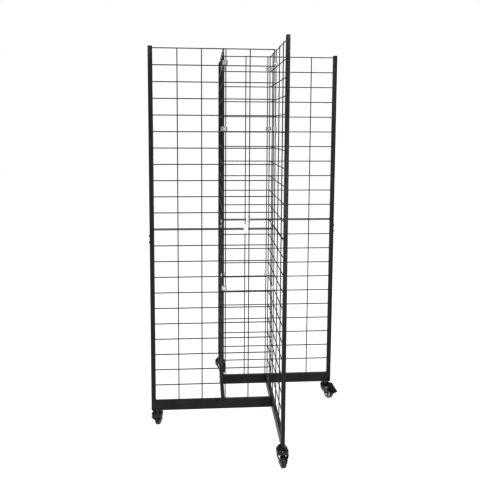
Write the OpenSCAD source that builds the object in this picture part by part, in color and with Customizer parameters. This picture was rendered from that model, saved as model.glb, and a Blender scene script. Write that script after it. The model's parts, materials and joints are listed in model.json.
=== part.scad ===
// Rolling four-way gridwall display: four wire-grid wings set as a pinwheel
// round an open square well, each wing made of two bolted halves on a base
// rail, with a swivel caster under the outer end of every wing.
// Units are millimetres, +Z is up, the floor is at Z = 0.

/* [Grid wall] */
// Vertical spacing of the crosswires
wire_pitch = 76.2; // [70:0.1:80]
// Number of spaces between crosswires in one half of a wing
rows_per_half = 11; // [9:1:11]
// Horizontal spacing of the upright wires
cell_width = 112.5; // [105:0.5:116]
// Diameter of the upright wires
upright_d = 4; // [3.5:0.1:4.2]
// Diameter of the crosswires
cross_d = 4; // [3.5:0.1:4.2]
// Depth to which the crosswires are fused into the uprights
weld_sink = 0.2; // [0.1:0.05:0.4]
// Distance between the planes of opposite wings
well_side = 245; // [240:1:250]

/* [Posts and rails] */
// Width of the end post along the wing
post_w = 20; // [18:1:22]
// Thickness of the post and of the base rail
post_t = 16; // [15:0.5:18]
// Wall thickness of the post and rail tubes
tube_wall = 1.5; // [1.2:0.1:2]
// Height of the post above the joint between the halves, cap included
post_rise = 850; // [846:1:856]
// Height of the base rail
rail_h = 48; // [44:1:50]
// Drop from the joint between the halves to the underside of the rail
rail_drop = 892; // [888:1:896]

/* [Clips and screws] */
// Width of a junction clip
clip_w = 30; // [28:1:32]
// Height of a junction clip
clip_h = 22; // [20:1:24]
// Thickness of the clip plates
clip_t = 1.6; // [1.2:0.1:2]
// Width of a seam clip
seam_clip_w = 20; // [18:1:22]
// Height of a seam clip
seam_clip_h = 40; // [38:1:42]
// Vertical distance between the two screws of a rail joint
screw_gap = 24; // [20:1:26]

/* [Casters] */
// Height from the floor to the underside of the rail
caster_h = 86; // [84:1:90]
// Wheel diameter over the tyre
wheel_d = 50; // [48:1:50]
// Width of the tyre
tyre_w = 22; // [20:1:22]
// Distance from the swivel axis to the wheel axle
trail = 24; // [22:1:24]
// Distance from the outer face of the post to the swivel axis
stem_inset = 26; // [26:1:40]
// Swivel heading of the left caster, anticlockwise from +X
left_heading = 80; // [0:1:359]
// Swivel heading of the front caster
front_heading = 273; // [0:1:359]
// Swivel heading of the right caster
right_heading = 310; // [0:1:359]
// Swivel heading of the back caster
back_heading = 305; // [0:1:359]

/* [Hidden] */

// colours
coat = [0.045, 0.045, 0.05];
zinc = [0.66, 0.67, 0.69];
plastic = [0.03, 0.03, 0.03];
steel = [0.5, 0.5, 0.52];
rubber = [0.05, 0.05, 0.052];

// heights
seam_z = caster_h + rail_drop;
rail_top = caster_h + rail_h;
seam_off = cross_d/2 + 0.5;
cap_t = 2;
post_top = seam_z + post_rise - cap_t;
top_wire = seam_z + seam_off + rows_per_half*wire_pitch;
upper_z = [for (k = [0:rows_per_half]) seam_z + seam_off + k*wire_pitch];
lower_z = [for (k = [0:rows_per_half - 1]) seam_z - seam_off - k*wire_pitch];

// plan of the left wing: it lies along X, its outer face looks to -Y
plane = -well_side/2;
inner_end = well_side/2 - post_t/2;
end_wire = inner_end - upright_d/2;
uprights_x = [for (k = [0:4]) end_wire - k*cell_width];
post_face = end_wire - 5*cell_width;
post_x = post_face - post_w/2;
outer_face = post_face - post_w;
cross_y = plane - upright_d/2 - cross_d/2 + weld_sink;
stem_x = outer_face + stem_inset;

// the wings are numbered anticlockwise from the left one
headings = [left_heading, front_heading, right_heading, back_heading];
LEFT = 0; FRONT = 1; RIGHT = 2; BACK = 3;

// caster levels
axle_z = wheel_d/2;
fork_top = 76;
sheet = 2.6;
pin_z = 66;
pin_x = 28;
pedal_tip = 70;
pedal_half = 17;

// the origin is the middle of the whole footprint, casters and pedal included
stem_r = -stem_x;
pedal_reach = stem_r + pedal_tip*cos(right_heading) - pedal_half*sin(right_heading);
wheel_reach = stem_r + cast_reach(front_heading - 270);
function cast_reach(a) = trail*cos(a) + (wheel_d/2)*cos(a) + abs(sin(a))*tyre_w/2*0.72;
footprint_x = (pedal_reach + outer_face)/2;
footprint_y = (-wheel_reach - outer_face)/2;

module place() translate([-footprint_x, -footprint_y, 0]) children();
module wing(i) place() rotate([0, 0, 90*i]) children();
module each_wing() for (i = [0:3]) wing(i) children();
module caster(i) wing(i) translate([stem_x, plane, 0]) rotate([0, 0, headings[i] - 90*i]) children();

// rounded rectangle centred on the origin
module rrect(a, b, r) {
  square([a - 2*r, b], center = true);
  square([a, b - 2*r], center = true);
  for (x = [-1, 1], y = [-1, 1])
    translate([x*(a/2 - r), y*(b/2 - r)]) circle(r = r, $fn = 32);
}
module tube_section(a, b, wall, r) difference() {
  rrect(a, b, r);
  rrect(a - 2*wall, b - 2*wall, max(r - wall, 0.6));
}
module rod_x(x0, x1, d) translate([x0, 0, 0]) rotate([0, 90, 0]) cylinder(d = d, h = x1 - x0, $fn = 32);
module rod_y(y0, y1, d) translate([0, y0, 0]) rotate([-90, 0, 0]) cylinder(d = d, h = y1 - y0, $fn = 32);
module hex(af, h) cylinder(d = af/cos(30), h = h, $fn = 6);

// ---- one wing ----
module upper_post() color(coat)
  translate([post_x, plane, seam_z]) linear_extrude(post_top - seam_z)
    tube_section(post_w, post_t, tube_wall, 2.5);

splice_z = [seam_z - 32, seam_z - 62];
module lower_post() color(coat) difference() {
  translate([post_x, plane, caster_h]) linear_extrude(seam_z - caster_h)
    tube_section(post_w, post_t, tube_wall, 2.5);
  for (z = splice_z) translate([0, plane, z]) rod_x(outer_face - 1, outer_face + 3, 6.2);
}
module upper_uprights() color(coat)
  for (x = uprights_x) translate([x, plane, seam_z + 0.5])
    cylinder(d = upright_d, h = top_wire + cross_d/2 - seam_z - 0.5, $fn = 32);
module lower_uprights() color(coat)
  for (x = uprights_x) translate([x, plane, rail_top])
    cylinder(d = upright_d, h = seam_z - 0.5 - rail_top, $fn = 32);
module crosswires(zs) color(coat)
  for (z = zs) translate([0, cross_y, z]) rod_x(post_face, inner_end + 1.5, cross_d);
module base_rail() color(coat) difference() {
  translate([post_face, plane, caster_h + rail_h/2]) rotate([0, 90, 0])
    linear_extrude(inner_end - post_face) tube_section(rail_h, post_t, tube_wall, 2.5);
  translate([stem_x, plane, caster_h - 1]) cylinder(d = 8.6, h = 4, $fn = 32);
  for (s = [-1, 1]) translate([plane, plane, caster_h + rail_h/2 + s*screw_gap/2])
    rod_y(-post_t/2 - 1, post_t/2 + 1, 5.4);
}

// ---- parts that repeat on every wing ----
module post_caps() color(plastic) each_wing() translate([post_x, plane, 0]) {
  translate([0, 0, post_top]) linear_extrude(cap_t) rrect(post_w, post_t, 2.5);
  translate([0, 0, post_top - 10]) linear_extrude(10.2)
    rrect(post_w - 2*tube_wall - 0.3, post_t - 2*tube_wall - 0.3, 1);
}
module splice_sleeves() color(steel) each_wing() difference() {
  translate([post_x, plane, seam_z - 78]) linear_extrude(138)
    tube_section(post_w - 2*tube_wall - 0.3, post_t - 2*tube_wall - 0.3, 1.5, 1.2);
  for (z = splice_z) translate([0, plane, z]) rod_x(outer_face, outer_face + 4, 6);
}
module splice_bolts() color(coat) each_wing() for (z = splice_z) translate([outer_face, plane, z]) {
  difference() {
    rotate([0, -90, 0]) cylinder(d1 = 11, d2 = 7.5, h = 3.4, $fn = 40);
    translate([-4, 0, 0]) rotate([0, 90, 0]) hex(4, 2.4);
  }
  rod_x(0, 8, 5.8);
}

// A junction clip joins the end wire of one wing to the third wire of the next:
// two stamped plates with grooves, drawn together by one bolt between the wires.
wire_gap = sqrt(2)*(well_side/2 - end_wire);
clip_levels = [upper_z[rows_per_half - 1] + 14.5, upper_z[rows_per_half - 5] + 14.5, lower_z[4] + 14.5];
groove_off = upright_d/2 + 0.05;
plate_gap = 1.2;
module junction_clip() each_wing() for (z = clip_levels)
  translate([(end_wire + well_side/2)/2, -(end_wire + well_side/2)/2, z]) rotate([0, 0, 45]) children();
// a plate lies on the -Y side of the wire pair, its inner face at -plate_gap
module junction_plate() difference() {
  union() {
    translate([-clip_w/2, -plate_gap - clip_t, -clip_h/2]) cube([clip_w, clip_t, clip_h]);
    for (x = [-wire_gap/2, wire_gap/2]) translate([x, 0, -clip_h/2])
      intersection() {
        cylinder(r = groove_off + clip_t, h = clip_h, $fn = 40);
        translate([-6, -6, 0]) cube([12, 6 - plate_gap, clip_h]);
      }
  }
  for (x = [-wire_gap/2, wire_gap/2]) translate([x, 0, -clip_h/2 - 1])
    cylinder(r = groove_off, h = clip_h + 2, $fn = 40);
  rod_y(-8, 2, 5.2);
}
// A seam clip holds the bottom crosswire of the upper half against the top
// crosswire of the lower half, with a bolt above and a bolt below the pair.
seam_x = end_wire - cell_width - 16;
seam_bolt = 12.5;
module seam_clip() each_wing() translate([seam_x, cross_y, seam_z]) children();
module seam_plate() difference() {
  union() {
    translate([-seam_clip_w/2, -plate_gap - clip_t, -seam_clip_h/2]) cube([seam_clip_w, clip_t, seam_clip_h]);
    for (s = [-1, 1]) translate([0, 0, s*seam_off]) intersection() {
      rod_x(-seam_clip_w/2, seam_clip_w/2, 2*(groove_off + clip_t));
      translate([-seam_clip_w, -6, -6]) cube([2*seam_clip_w, 6 - plate_gap, 12]);
    }
  }
  for (s = [-1, 1]) translate([0, 0, s*seam_off]) rod_x(-seam_clip_w, seam_clip_w, 2*groove_off);
  translate([-seam_clip_w, -groove_off, -seam_off]) cube([2*seam_clip_w, 2*groove_off, 2*seam_off]);
  for (s = [-1, 1]) translate([0, 0, s*seam_bolt]) rod_y(-8, 2, 5.2);
}
module clip_front_plates() color(zinc) {
  junction_clip() junction_plate();
  seam_clip() seam_plate();
}
module clip_back_plates() color(zinc) {
  junction_clip() mirror([0, 1, 0]) junction_plate();
  seam_clip() mirror([0, 1, 0]) seam_plate();
}
bolt_seat = plate_gap + clip_t;
module clip_bolt() {
  rotate([90, 0, 0]) translate([0, 0, bolt_seat]) cylinder(d1 = 9, d2 = 6.8, h = 2.8, $fn = 40);
  rod_y(-bolt_seat - 0.2, bolt_seat + 5.5, 4.8);
}
module clip_bolts() color(zinc) {
  junction_clip() clip_bolt();
  seam_clip() for (s = [-1, 1]) translate([0, 0, s*seam_bolt]) clip_bolt();
}
module clip_nut() translate([0, bolt_seat, 0]) rotate([-90, 0, 0]) difference() {
  hex(8, 4);
  translate([0, 0, -1]) cylinder(d = 5, h = 7, $fn = 32);
}
module clip_nuts() color(zinc) {
  junction_clip() clip_nut();
  seam_clip() for (s = [-1, 1]) translate([0, 0, s*seam_bolt]) clip_nut();
}

// A plug fixed in the inner end of each rail takes the two screws that pass
// through the neighbouring rail.
plug_l = 14;
module rail_end_plugs() color(steel) each_wing() difference() {
  translate([inner_end - plug_l, plane, caster_h + rail_h/2]) rotate([0, 90, 0]) linear_extrude(plug_l)
    rrect(rail_h - 2*tube_wall - 0.3, post_t - 2*tube_wall - 0.3, 1.2);
  for (s = [-1, 1]) translate([0, plane, caster_h + rail_h/2 + s*screw_gap/2])
    rod_x(inner_end - plug_l - 1, inner_end + 1, 5.2);
}
module rail_screws() color(coat) each_wing() for (s = [-1, 1])
  translate([inner_end + post_t, plane, caster_h + rail_h/2 + s*screw_gap/2]) {
    difference() {
      rotate([0, 90, 0]) cylinder(d1 = 9.5, d2 = 6.5, h = 2.6, $fn = 40);
      translate([0.9, 0, 0]) rotate([0, 90, 0]) hex(3, 3);
    }
    rod_x(-post_t - 10, 0, 5);
  }

// ---- casters ----
module caster_inserts() color(steel) each_wing() difference() {
  translate([post_face + 0.1, plane, caster_h + tube_wall + 13]) rotate([0, 90, 0]) linear_extrude(15)
    rrect(26, post_t - 2*tube_wall - 0.3, 1.2);
  translate([stem_x, plane, caster_h]) cylinder(d = 8.2, h = 40, $fn = 32);
}
race_z = 79.6;
module caster_stems() color(steel) for (i = [0:3]) caster(i) {
  translate([0, 0, 69.5]) cylinder(d = 18, h = 3, $fn = 48);
  translate([0, 0, 72.4]) cylinder(d = 10, h = race_z - 72.4, $fn = 48);
  translate([0, 0, race_z - 0.1]) cylinder(d = 8, h = 30, $fn = 48);
}
module caster_stem_nuts() color(zinc) each_wing() translate([stem_x, plane, 0]) difference() {
  translate([0, 0, 81]) hex(13, caster_h - 81);
  translate([0, 0, 80]) cylinder(d = 8.2, h = caster_h - 78, $fn = 48);
}
module caster_races() color(plastic) each_wing() translate([stem_x, plane, 0])
  rotate_extrude($fn = 64) polygon([[4.1, race_z], [17, race_z], [18.2, 77.2], [20, 77.2], [19, 80.2], [17.5, 81], [4.1, 81]]);
module caster_balls() color(zinc) for (i = [0:3]) caster(i)
  for (a = [0:30:330]) rotate([0, 0, a]) translate([13, 0, (fork_top + race_z)/2]) sphere(d = 3, $fn = 32);

// stamped fork: a hood over the top of the wheel, with two legs that narrow to the axle
module fork_front(t) polygon([
  [-19 + t, 76 - t], [19 - t, 76 - t], [26 - t, 69 - 0.42*t], [26 - t, 52 + 0.36*t], [16.6 - t, 34 + 0.36*t],
  [16.6 - t, 10 - t], [-16.6 + t, 10 - t], [-16.6 + t, 34 + 0.36*t], [-26 + t, 52 + 0.36*t], [-26 + t, 69 - 0.42*t]]);
module fork_prism(t) translate([-40, 0, 0]) rotate([90, 0, 90]) linear_extrude(90) fork_front(t);
// outline seen from the side; the braked fork runs further forward to hold the pedal's pin
module fork_side(brake) {
  translate([0, 40, 0]) rotate([90, 0, 0]) linear_extrude(80)
    polygon(concat([[-17, 76]],
      brake ? [[25, 76], [34, 73], [38.2, 66], [37, 50]] : [[19, 76], [26, 73], [30.6, 66], [31.5, 48]],
      [[trail + 9.6, axle_z + 2.8], [trail, axle_z - 1], [trail - 8.5, axle_z - 5.3], [2, 34], [-6, 44], [-10, 50], [-14, 53.5], [-26.6, 56], [-26.6, 69]]));
  translate([trail, -40, axle_z]) rotate([-90, 0, 0]) cylinder(r = 10, h = 80, $fn = 48);
}
// plan outline of the hood, drawn in by t
module hood_plan(t, brake) translate([0, 0, 5]) {
  cylinder(r = 26.4 - t, h = 90, $fn = 96);
  linear_extrude(90) if (brake)
    polygon([[0, -26.4 + t], [31 - 0.35*t, -26.4 + t], [36 - 0.9*t, -22 + 0.5*t], [38 - t, -13 + 0.2*t],
      [38 - t, 13 - 0.2*t], [36 - 0.9*t, 22 - 0.5*t], [31 - 0.35*t, 26.4 - t], [0, 26.4 - t]]);
  else
    polygon([[0, -26.4 + t], [12, -26.4 + t], [22 - 0.35*t, -24 + 0.94*t], [28 - 0.75*t, -17 + 0.6*t], [30.4 - t, -8 + 0.2*t],
      [30.4 - t, 8 - 0.2*t], [28 - 0.75*t, 17 - 0.6*t], [22 - 0.35*t, 24 - 0.94*t], [12, 26.4 - t], [0, 26.4 - t]]);
  linear_extrude(skirt_z - 5) translate([0, -18]) square([40, 36]);
}
module hood_room(brake) translate([0, 40, 0]) rotate([90, 0, 0]) linear_extrude(80)
  polygon(concat([[-16, 76 - sheet]], brake ? [[24.4, 76 - sheet], [32.3, 70.8], [35.6, 65], [35.6, 0]]
    : [[18.4, 76 - sheet], [24.4, 71], [28, 65], [28, 0]], [[-24, 0], [-24, 67.8]]));
// the hood closes over the wheel in front and behind down to this height
skirt_z = 57;
module fork(brake) color(plastic) difference() {
  intersection() {
    fork_prism(0);
    fork_side(brake);
    hood_plan(0, brake);
  }
  intersection() {
    fork_prism(sheet);
    hood_room(brake);
    hood_plan(sheet, brake);
  }
  intersection() {
    fork_prism(sheet);
    translate([-45, -40, 0]) cube([100, 80, skirt_z]);
  }
  translate([0, 0, 60]) cylinder(d = 10.12, h = 20, $fn = 48);
  translate([trail, 0, axle_z]) rod_y(-30, 30, 6.1);
  if (brake) {
    translate([pin_x, 0, pin_z]) rod_y(-30, 30, 5.1);
    translate([20, -15.3, skirt_z - 1]) cube([30, 30.6, 40]);
  }
}
module caster_axle() color(zinc) translate([trail, 0, axle_z]) {
  rod_y(-16.6, 22.4, 6);
  translate([0, -16.6, 0]) rotate([90, 0, 0]) hex(10, 4);
  translate([0, 16.6, 0]) rotate([-90, 0, 0]) difference() {
    hex(10, 4.6);
    translate([0, 0, -1]) cylinder(d = 6.1, h = 7, $fn = 48);
  }
}
hub_r = wheel_d/2 - 6.5;
module wheel_hub() color(steel) translate([trail, 0, axle_z]) rotate([90, 0, 0]) rotate_extrude($fn = 96)
  polygon([[3.06, -13.6], [6.5, -13.6], [7.5, -9], [hub_r - 3, -6.5], [hub_r - 2, -9.5], [hub_r, -9.5],
    [hub_r, 9.5], [hub_r - 2, 9.5], [hub_r - 3, 6.5], [7.5, 9], [6.5, 13.6], [3.06, 13.6]]);
module wheel_tyre() color(rubber) translate([trail, 0, axle_z]) rotate([90, 0, 0]) rotate_extrude($fn = 96) difference() {
  union() {
    translate([hub_r, -tyre_w/2]) square([wheel_d/2 - hub_r - 4, tyre_w]);
    translate([hub_r, -tyre_w/2 + 4]) square([wheel_d/2 - hub_r, tyre_w - 8]);
    for (s = [-1, 1]) translate([wheel_d/2 - 4, s*(tyre_w/2 - 4)]) circle(r = 4, $fn = 48);
  }
  translate([0, -20]) square([hub_r, 40]);
}

// toe pedal of the braked caster, hinged on a pin through the fork
module brake_pedal() color(plastic) caster(RIGHT) difference() {
  intersection() {
    union() {
      translate([0, 30, 0]) rotate([90, 0, 0]) linear_extrude(60)
        polygon([[23, 68], [23.5, 77], [27, 79.6], [34, 79], [49, 68.5], [pedal_tip - 1, 46.5], [pedal_tip, 43.5],
          [pedal_tip - 2.5, 42], [60, 45.5], [55, 52], [46, 60], [40, 62], [34, 61], [28, 61.5]]);
      // shoe that meets the tyre
      translate([0, 8, 0]) rotate([90, 0, 0]) linear_extrude(16)
        polygon([[33, 63], [37, 50.5], [43.5, 46.8], [47.5, 57], [47, 61]]);
    }
    linear_extrude(100) polygon([[20, -15], [36, -15], [50, -13.5], [64, -pedal_half], [pedal_tip + 1, -pedal_half + 1.5],
      [pedal_tip + 1, pedal_half - 1.5], [64, pedal_half], [50, 13.5], [36, 15], [20, 15]]);
  }
  translate([pin_x, 0, pin_z]) rod_y(-30, 30, 5.1);
}
module brake_pivot_pin() color(zinc) caster(RIGHT) translate([pin_x, 0, pin_z]) {
  rod_y(-26, 27.6, 5);
  rod_y(-27.8, -26, 8);
}

wing(LEFT) upper_post();  // left_upper_post
wing(LEFT) upper_uprights();  // left_upper_uprights
wing(LEFT) crosswires(upper_z);  // left_upper_crosswires
wing(LEFT) lower_post();  // left_lower_post
wing(LEFT) lower_uprights();  // left_lower_uprights
wing(LEFT) crosswires(lower_z);  // left_lower_crosswires
wing(LEFT) base_rail();  // left_base_rail
wing(FRONT) upper_post();  // front_upper_post
wing(FRONT) upper_uprights();  // front_upper_uprights
wing(FRONT) crosswires(upper_z);  // front_upper_crosswires
wing(FRONT) lower_post();  // front_lower_post
wing(FRONT) lower_uprights();  // front_lower_uprights
wing(FRONT) crosswires(lower_z);  // front_lower_crosswires
wing(FRONT) base_rail();  // front_base_rail
wing(RIGHT) upper_post();  // right_upper_post
wing(RIGHT) upper_uprights();  // right_upper_uprights
wing(RIGHT) crosswires(upper_z);  // right_upper_crosswires
wing(RIGHT) lower_post();  // right_lower_post
wing(RIGHT) lower_uprights();  // right_lower_uprights
wing(RIGHT) crosswires(lower_z);  // right_lower_crosswires
wing(RIGHT) base_rail();  // right_base_rail
wing(BACK) upper_post();  // back_upper_post
wing(BACK) upper_uprights();  // back_upper_uprights
wing(BACK) crosswires(upper_z);  // back_upper_crosswires
wing(BACK) lower_post();  // back_lower_post
wing(BACK) lower_uprights();  // back_lower_uprights
wing(BACK) crosswires(lower_z);  // back_lower_crosswires
wing(BACK) base_rail();  // back_base_rail
post_caps();
splice_sleeves();
splice_bolts();
clip_front_plates();
clip_back_plates();
clip_bolts();
clip_nuts();
rail_end_plugs();
rail_screws();
caster_inserts();
caster_stems();
caster_stem_nuts();
caster_races();
caster_balls();
caster(LEFT) fork(false);  // left_caster_fork
caster(LEFT) caster_axle();  // left_caster_axle
caster(LEFT) wheel_hub();  // left_wheel_hub
caster(LEFT) wheel_tyre();  // left_wheel_tyre
caster(FRONT) fork(false);  // front_caster_fork
caster(FRONT) caster_axle();  // front_caster_axle
caster(FRONT) wheel_hub();  // front_wheel_hub
caster(FRONT) wheel_tyre();  // front_wheel_tyre
caster(RIGHT) fork(true);  // right_caster_fork
caster(RIGHT) caster_axle();  // right_caster_axle
caster(RIGHT) wheel_hub();  // right_wheel_hub
caster(RIGHT) wheel_tyre();  // right_wheel_tyre
caster(BACK) fork(false);  // back_caster_fork
caster(BACK) caster_axle();  // back_caster_axle
caster(BACK) wheel_hub();  // back_wheel_hub
caster(BACK) wheel_tyre();  // back_wheel_tyre
brake_pedal();
brake_pivot_pin();
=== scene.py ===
import json
import math
import random

import bmesh
import bpy
from mathutils import Matrix, Vector


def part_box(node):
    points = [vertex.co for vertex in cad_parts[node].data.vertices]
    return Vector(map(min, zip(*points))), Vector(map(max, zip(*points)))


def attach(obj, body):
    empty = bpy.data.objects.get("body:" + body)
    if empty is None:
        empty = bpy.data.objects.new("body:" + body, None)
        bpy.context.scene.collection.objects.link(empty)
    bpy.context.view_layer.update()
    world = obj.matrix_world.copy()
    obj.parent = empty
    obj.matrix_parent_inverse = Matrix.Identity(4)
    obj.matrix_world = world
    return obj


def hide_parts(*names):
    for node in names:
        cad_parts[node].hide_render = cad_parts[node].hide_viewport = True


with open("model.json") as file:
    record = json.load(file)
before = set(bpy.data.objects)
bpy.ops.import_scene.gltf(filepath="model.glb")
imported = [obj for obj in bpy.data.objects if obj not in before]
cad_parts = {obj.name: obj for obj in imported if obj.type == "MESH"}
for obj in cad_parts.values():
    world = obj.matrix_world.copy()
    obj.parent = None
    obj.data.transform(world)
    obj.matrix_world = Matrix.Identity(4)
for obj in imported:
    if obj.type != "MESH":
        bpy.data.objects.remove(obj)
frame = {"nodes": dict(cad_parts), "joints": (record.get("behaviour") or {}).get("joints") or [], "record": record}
bpy.context.view_layer.update()
nodes = frame["nodes"]
scene = bpy.context.scene

# ---------------------------------------------------------------- the frame
WINGS = ["left", "front", "right", "back"]
lo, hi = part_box("left_upper_post")
OFF = Vector(((lo.x + hi.x) / 2 + 0.460, (lo.y + hi.y) / 2 + 0.1225, 0))
SEAM = lo.z * 1000
PLANE = -122.5
CROSS_Y = -126.3
UPRIGHTS = [112.5, 0.0, -112.5, -225.0, -337.5]
POST_FACE, POST_X, OUTER = -450.0, -460.0, -470.0
INNER_END = 114.5
RAIL_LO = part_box("left_base_rail")[0].z * 1000
RAIL_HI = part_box("left_base_rail")[1].z * 1000
CAP_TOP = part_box("post_caps")[1].z * 1000
POST_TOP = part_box("left_upper_post")[1].z * 1000
UPPER_Z = [SEAM + 2.5 + 76.2 * k for k in range(12)]
LOWER_Z = [SEAM - 2.5 - 76.2 * k for k in range(11)]
SPLICE_Z = [SEAM - 32, SEAM - 62]
CLIP_Z = [UPPER_Z[10] + 14.5, UPPER_Z[6] + 14.5, LOWER_Z[4] + 14.5]


def wing_m(i):
    return Matrix.Translation(OFF) @ Matrix.Rotation(math.radians(90 * i), 4, "Z") @ Matrix.Diagonal((0.001, 0.001, 0.001, 1))


joint = {j["name"]: j for j in frame["joints"]}


def caster_m(w):
    """The caster's own frame in mm: the stem axis at the origin, the axle towards +X."""
    p = joint[f"{w}_caster_swivel"]["pos_m"]
    a = joint[f"{w}_wheel_spin"]["axis"]
    h = math.atan2(-a[0], a[1])
    return Matrix.Translation((p[0], p[1], 0)) @ Matrix.Rotation(h, 4, "Z") @ Matrix.Diagonal((0.001, 0.001, 0.001, 1))


# ---------------------------------------------------------------- camera
def place_camera():
    yaw, pitch, roll = 0.06876, 0.09485, 0.00505
    fwd0 = Vector((math.sin(yaw), math.cos(yaw), 0))
    right0 = Vector((math.cos(yaw), -math.sin(yaw), 0))
    up0 = Vector((0, 0, 1))
    fwd = fwd0 * math.cos(pitch) - up0 * math.sin(pitch)
    up = up0 * math.cos(pitch) + fwd0 * math.sin(pitch)
    r = right0 * math.cos(roll) + up * math.sin(roll)
    u = up * math.cos(roll) - right0 * math.sin(roll)
    data = bpy.data.cameras.new("camera")
    cam = bpy.data.objects.new("camera", data)
    scene.collection.objects.link(cam)
    b = -fwd
    at = OFF + Vector((-0.213684, -2.578457, 1.454973))
    cam.matrix_world = Matrix(((r.x, u.x, b.x, at.x), (r.y, u.y, b.y, at.y), (r.z, u.z, b.z, at.z), (0, 0, 0, 1)))
    data.sensor_width = 36
    data.lens = 39.2328
    data.shift_x = 0.0
    data.shift_y = -0.12917
    data.clip_start, data.clip_end = 0.05, 60
    scene.camera = cam


place_camera()


# ---------------------------------------------------------------- mesh code
class Build:
    """Gathers closed shells, in mm in a frame of their own, into one mesh."""

    def __init__(self):
        self.v, self.f = [], []

    def add(self, verts, faces, m=None):
        n = len(self.v)
        self.v += [m @ Vector(p) if m else Vector(p) for p in verts]
        self.f += [tuple(i + n for i in f) for f in faces]

    def piece(self, name, world, mat, body, slot, replaces=(), bevel=0.0, segments=2, sharp=38, merge=0.0004):
        me = bpy.data.meshes.new(name)
        bm = bmesh.new()
        vs = [bm.verts.new(world @ p) for p in self.v]
        for f in self.f:
            try:
                bm.faces.new([vs[i] for i in f])
            except ValueError:
                pass
        bmesh.ops.remove_doubles(bm, verts=bm.verts, dist=merge * 0.001)
        bmesh.ops.recalc_face_normals(bm, faces=bm.faces)
        if bevel:
            edges = [e for e in bm.edges if len(e.link_faces) == 2 and e.calc_face_angle(0) > math.radians(sharp)]
            bmesh.ops.bevel(bm, geom=edges, offset=bevel * 0.001, segments=segments, profile=0.5, affect="EDGES", clamp_overlap=True)
            bmesh.ops.remove_doubles(bm, verts=bm.verts, dist=merge * 0.001)
        for f in bm.faces:
            f.smooth = True
        for e in bm.edges:
            e.smooth = len(e.link_faces) == 2 and e.calc_face_angle(0) < math.radians(sharp)
        bm.to_mesh(me)
        bm.free()
        me.materials.append(mat)
        ob = bpy.data.objects.new(name, me)
        scene.collection.objects.link(ob)
        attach(ob, body)
        if replaces:
            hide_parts(*replaces)
        return ob


def rings(loops, cap0=True, cap1=True, closed=False):
    """Quads between loops of the same length. closed joins the last loop to the first."""
    n = len(loops[0])
    verts = [p for loop in loops for p in loop]
    faces = []
    last = len(loops) if closed else len(loops) - 1
    for k in range(last):
        a, b = k * n, ((k + 1) % len(loops)) * n
        for i in range(n):
            j = (i + 1) % n
            faces.append((a + i, a + j, b + j, b + i))
    if not closed:
        if cap0:
            faces.append(tuple(reversed(range(n))))
        if cap1:
            faces.append(tuple(range((len(loops) - 1) * n, len(loops) * n)))
    return verts, faces


def lathe(profile, seg=48, closed=False, wobble=None):
    """Turns (r, z) points about Z. closed joins the profile's ends, for a ring."""
    loops = []
    for k, (r, z) in enumerate(profile):
        loop = []
        for i in range(seg):
            a = 2 * math.pi * i / seg
            rr = r * (wobble(a, k) if wobble else 1)
            loop.append((rr * math.cos(a), rr * math.sin(a), z))
        loops.append(loop)
    return rings(loops, closed=closed)


def arc(cx, cz, r, a0, a1, n):
    return [(cx + r * math.cos(math.radians(a0 + (a1 - a0) * k / n)), cz + r * math.sin(math.radians(a0 + (a1 - a0) * k / n))) for k in range(n + 1)]


def along(p, d):
    """A frame at p whose Z is d."""
    q = Vector(d).to_track_quat("Z", "Y")
    return Matrix.Translation(Vector(p)) @ q.to_matrix().to_4x4()


def hex_r(a, af):
    a = (a + math.pi / 6) % (math.pi / 3) - math.pi / 6
    return af / 2 / math.cos(a)


def hex_loop(af, z, limit=1e9, seg=48):
    return [(min(hex_r(2 * math.pi * i / seg, af), limit) * math.cos(2 * math.pi * i / seg), min(hex_r(2 * math.pi * i / seg, af), limit) * math.sin(2 * math.pi * i / seg), z) for i in range(seg)]


def circle(r, z, seg=48):
    return [(r * math.cos(2 * math.pi * i / seg), r * math.sin(2 * math.pi * i / seg), z) for i in range(seg)]


def chamfered_hex(af, h, seg=48, both=True, washer=0.0):
    """Loops of a hexagon whose corners are turned off at 30 degrees."""
    loops = []

    def edge(z, up):
        rim = af * 0.475
        out = []
        for t in (0.0, 0.5, 1.0):
            loop = []
            for i in range(seg):
                a = 2 * math.pi * i / seg
                full = hex_r(a, af)
                r = rim + (full - rim) * t
                dz = (r - rim) * math.tan(math.radians(28))
                loop.append((r * math.cos(a), r * math.sin(a), z - dz if up else z + dz))
            out.append(loop)
        return out if not up else list(reversed(out))

    if washer:
        loops += [circle(af * 0.49, 0, seg), circle(af * 0.49, washer, seg)]
        loops += [hex_loop(af, washer, seg=seg)]
    elif both:
        loops += edge(0, False)
    else:
        loops += [hex_loop(af, 0, seg=seg)]
    loops += edge(h, True)
    return loops


def socket_loops(af, depth, z, seg=48):
    """A hexagonal socket going down from z."""
    return [circle(af * 0.64, z, seg), hex_loop(af, z - 0.35, seg=seg), hex_loop(af, z - depth, seg=seg), circle(af * 0.05, z - depth - af * 0.18, seg)]


def button_head(b, m, d, h, af, depth, seg=48):
    """A low domed head with a socket: its seat at Z = 0, its crown at Z = h."""
    r = d / 2
    loops = [circle(r * 0.5, 0, seg), circle(r - 0.25, 0, seg), circle(r, 0.25, seg), circle(r, 0.55, seg)]
    for k in range(1, 8):
        a = math.pi / 2 * k / 8
        loops.append(circle(r * (0.36 + 0.64 * math.cos(a) ** 0.9), 0.55 + (h - 0.55) * math.sin(a), seg))
    loops.append(circle(max(af * 0.72, r * 0.36), h, seg))
    loops += socket_loops(af, depth, h, seg)
    b.add(*rings(loops), m)


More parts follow.
